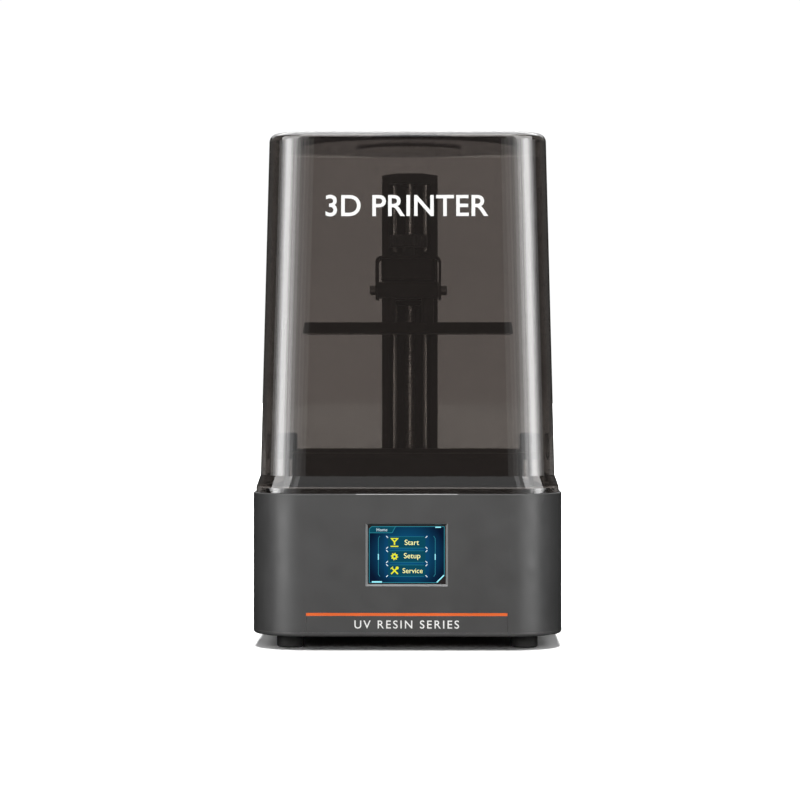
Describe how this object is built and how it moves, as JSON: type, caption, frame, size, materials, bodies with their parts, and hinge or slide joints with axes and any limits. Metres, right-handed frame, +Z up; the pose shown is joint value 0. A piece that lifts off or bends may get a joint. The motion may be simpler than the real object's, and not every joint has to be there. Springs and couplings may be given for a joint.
{
  "type": "resin printer",
  "caption": "Desktop resin printer: tinted lift-off cover over a resin vat and a screw-driven build platform on a column, with a touch screen in the base.",
  "frame": {"origin": "centre of the footprint, on the plane the feet stand on", "axes": "+Z up, front with the touch screen towards -Y, +X to the viewer's right when facing the front"},
  "size_m": [0.235, 0.227, 0.39],
  "materials": {
    "tinted_acrylic": "clear smoke tint, polished",
    "housing_plastic": "fine satin texture, dark grey",
    "tray_plastic": "fine satin texture, near black",
    "trim_plastic": "smooth satin, dark grey",
    "orange_accent": "satin orange",
    "rubber": "matt black",
    "black_aluminium": "black anodised, bead blasted",
    "black_plastic": "moulded black",
    "vat_resin": "black, lightly textured",
    "anodised_silver": "bead blasted, clear anodised",
    "ground_aluminium": "fine sanded working face",
    "steel_polished": "ground and polished",
    "screw_steel": "turned",
    "black_screws": "black oxide",
    "brass": "turned",
    "glass_panel": "polished",
    "screen_panel": "glossy",
    "lcd_panel": "glossy",
    "circuit_board": "solder mask, green",
    "white_led": "moulded",
    "clear_lens": "polished",
    "black_deck": "powder coated, fine texture",
    "film_clear": "clear film"
  },
  "bodies": {
    "base": {"accent_strip": "orange_accent", "bottom_tray": "tray_plastic", "column_bracket": "black_aluminium", "column_cap": "black_plastic", "column_profile": "black_aluminium", "column_screws": "black_screws", "deck_plate": "black_deck", "deck_screws": "black_screws", "endstop_sensor": "black_plastic", "fan_frame": "black_plastic", "fan_screws": "black_screws", "front_trim_plate": "trim_plastic", "guide_rods": "steel_polished", "housing_shell": "housing_plastic", "lcd_cover_glass": "glass_panel", "lcd_mask_panel": "lcd_panel", "led_board": "circuit_board", "led_heat_sink": "anodised_silver", "lens_array": "clear_lens", "light_shroud": "anodised_silver", "mainboard": "circuit_board", "mainboard_parts": "black_plastic", "motor_case": "black_aluminium", "power_inlet": "black_plastic", "power_switch_body": "black_plastic", "rubber_feet": "rubber", "top_bearing": "screw_steel", "touch_screen_board": "circuit_board", "touch_screen_panel": "screen_panel", "tray_screws": "black_screws", "usb_socket": "screw_steel", "uv_leds": "white_led", "vat_inserts": "brass"},
    "lead_screw_body": {"lead_screw": "screw_steel", "motor_rotor": "screw_steel"},
    "carriage": {"z_carriage": "black_aluminium", "linear_bearings": "screw_steel", "lead_nut": "black_plastic", "carriage_arm": "black_aluminium", "arm_bolts": "black_screws"},
    "knob": {"platform_knob": "black_plastic"},
    "holder": {"platform_bracket": "black_aluminium"},
    "platform": {"build_plate": "ground_aluminium", "plate_posts": "black_aluminium", "plate_screws": "black_screws", "levelling_block": "black_aluminium"},
    "level_screw_fl": {"level_screw_front_left": "screw_steel"},
    "level_screw_fr": {"level_screw_front_right": "screw_steel"},
    "level_screw_rl": {"level_screw_rear_left": "screw_steel"},
    "level_screw_rr": {"level_screw_rear_right": "screw_steel"},
    "vat": {"vat_body": "vat_resin", "film_upper_frame": "black_aluminium", "vat_film": "film_clear", "film_clamp_ring": "black_aluminium", "film_screws": "black_screws"},
    "thumb_left": {"thumb_screw_left": "black_plastic"},
    "thumb_right": {"thumb_screw_right": "black_plastic"},
    "lid": {"lid_shell": "tinted_acrylic"},
    "rocker": {"switch_rocker": "black_plastic"},
    "fan": {"fan_rotor": "black_plastic"}
  },
  "joints": [
    {"name": "carriage_travel", "type": "slide", "parent": "base", "child": "carriage", "axis": [0, 0, 1], "range_m": [-0.117, 0.048]},
    {"name": "lead_screw_turn", "type": "hinge", "parent": "base", "child": "lead_screw_body", "pos_m": [0, 0.067, 0.1], "axis": [0, 0, 1], "range_deg": [-2162, 5267]},
    {"name": "knob_turn", "type": "hinge", "parent": "carriage", "child": "knob", "pos_m": [0, -0.017, 0.31], "axis": [0, 0, 1], "range_deg": [0, 1080]},
    {"name": "platform_slide", "type": "slide", "parent": "carriage", "child": "holder", "axis": [0, -1, 0], "range_m": [0, 0.028]},
    {"name": "platform_level", "type": "slide", "parent": "holder", "child": "platform", "axis": [0, 0, 1], "range_m": [0, 0.0015]},
    {"name": "vat_lift", "type": "slide", "parent": "base", "child": "vat", "axis": [0, 0, 1], "range_m": [0, 0.06]},
    {"name": "lid_lift", "type": "slide", "parent": "base", "child": "lid", "axis": [0, 0, 1], "range_m": [0, 0.3]},
    {"name": "thumb_screw_left_turn", "type": "hinge", "parent": "vat", "child": "thumb_left", "pos_m": [-0.0965, -0.017, 0.15], "axis": [0, 0, 1], "range_deg": [0, 1440]},
    {"name": "thumb_screw_right_turn", "type": "hinge", "parent": "vat", "child": "thumb_right", "pos_m": [0.0965, -0.017, 0.15], "axis": [0, 0, 1], "range_deg": [0, 1440]},
    {"name": "power_switch", "type": "hinge", "parent": "base", "child": "rocker", "pos_m": [-0.058, 0.1091, 0.042], "axis": [1, 0, 0], "range_deg": [-18, 0]},
    {"name": "fan_spin", "type": "hinge", "parent": "base", "child": "fan", "pos_m": [0.046, 0.104, 0.062], "axis": [0, 1, 0], "continuous": true},
    {"name": "level_screw_fl_turn", "type": "hinge", "parent": "platform", "child": "level_screw_fl", "pos_m": [-0.0255, -0.029, 0.272], "axis": [-1, 0, 0], "range_deg": [0, 720]},
    {"name": "level_screw_fr_turn", "type": "hinge", "parent": "platform", "child": "level_screw_fr", "pos_m": [0.0255, -0.029, 0.272], "axis": [1, 0, 0], "range_deg": [0, 720]},
    {"name": "level_screw_rl_turn", "type": "hinge", "parent": "platform", "child": "level_screw_rl", "pos_m": [-0.0255, -0.005, 0.272], "axis": [-1, 0, 0], "range_deg": [0, 720]},
    {"name": "level_screw_rr_turn", "type": "hinge", "parent": "platform", "child": "level_screw_rr", "pos_m": [0.0255, -0.005, 0.272], "axis": [1, 0, 0], "range_deg": [0, 720]}
  ],
  "couplings": [
    {"joint": "lead_screw_turn", "follows": "carriage_travel", "rad_per_m": -785.4}
  ]
}
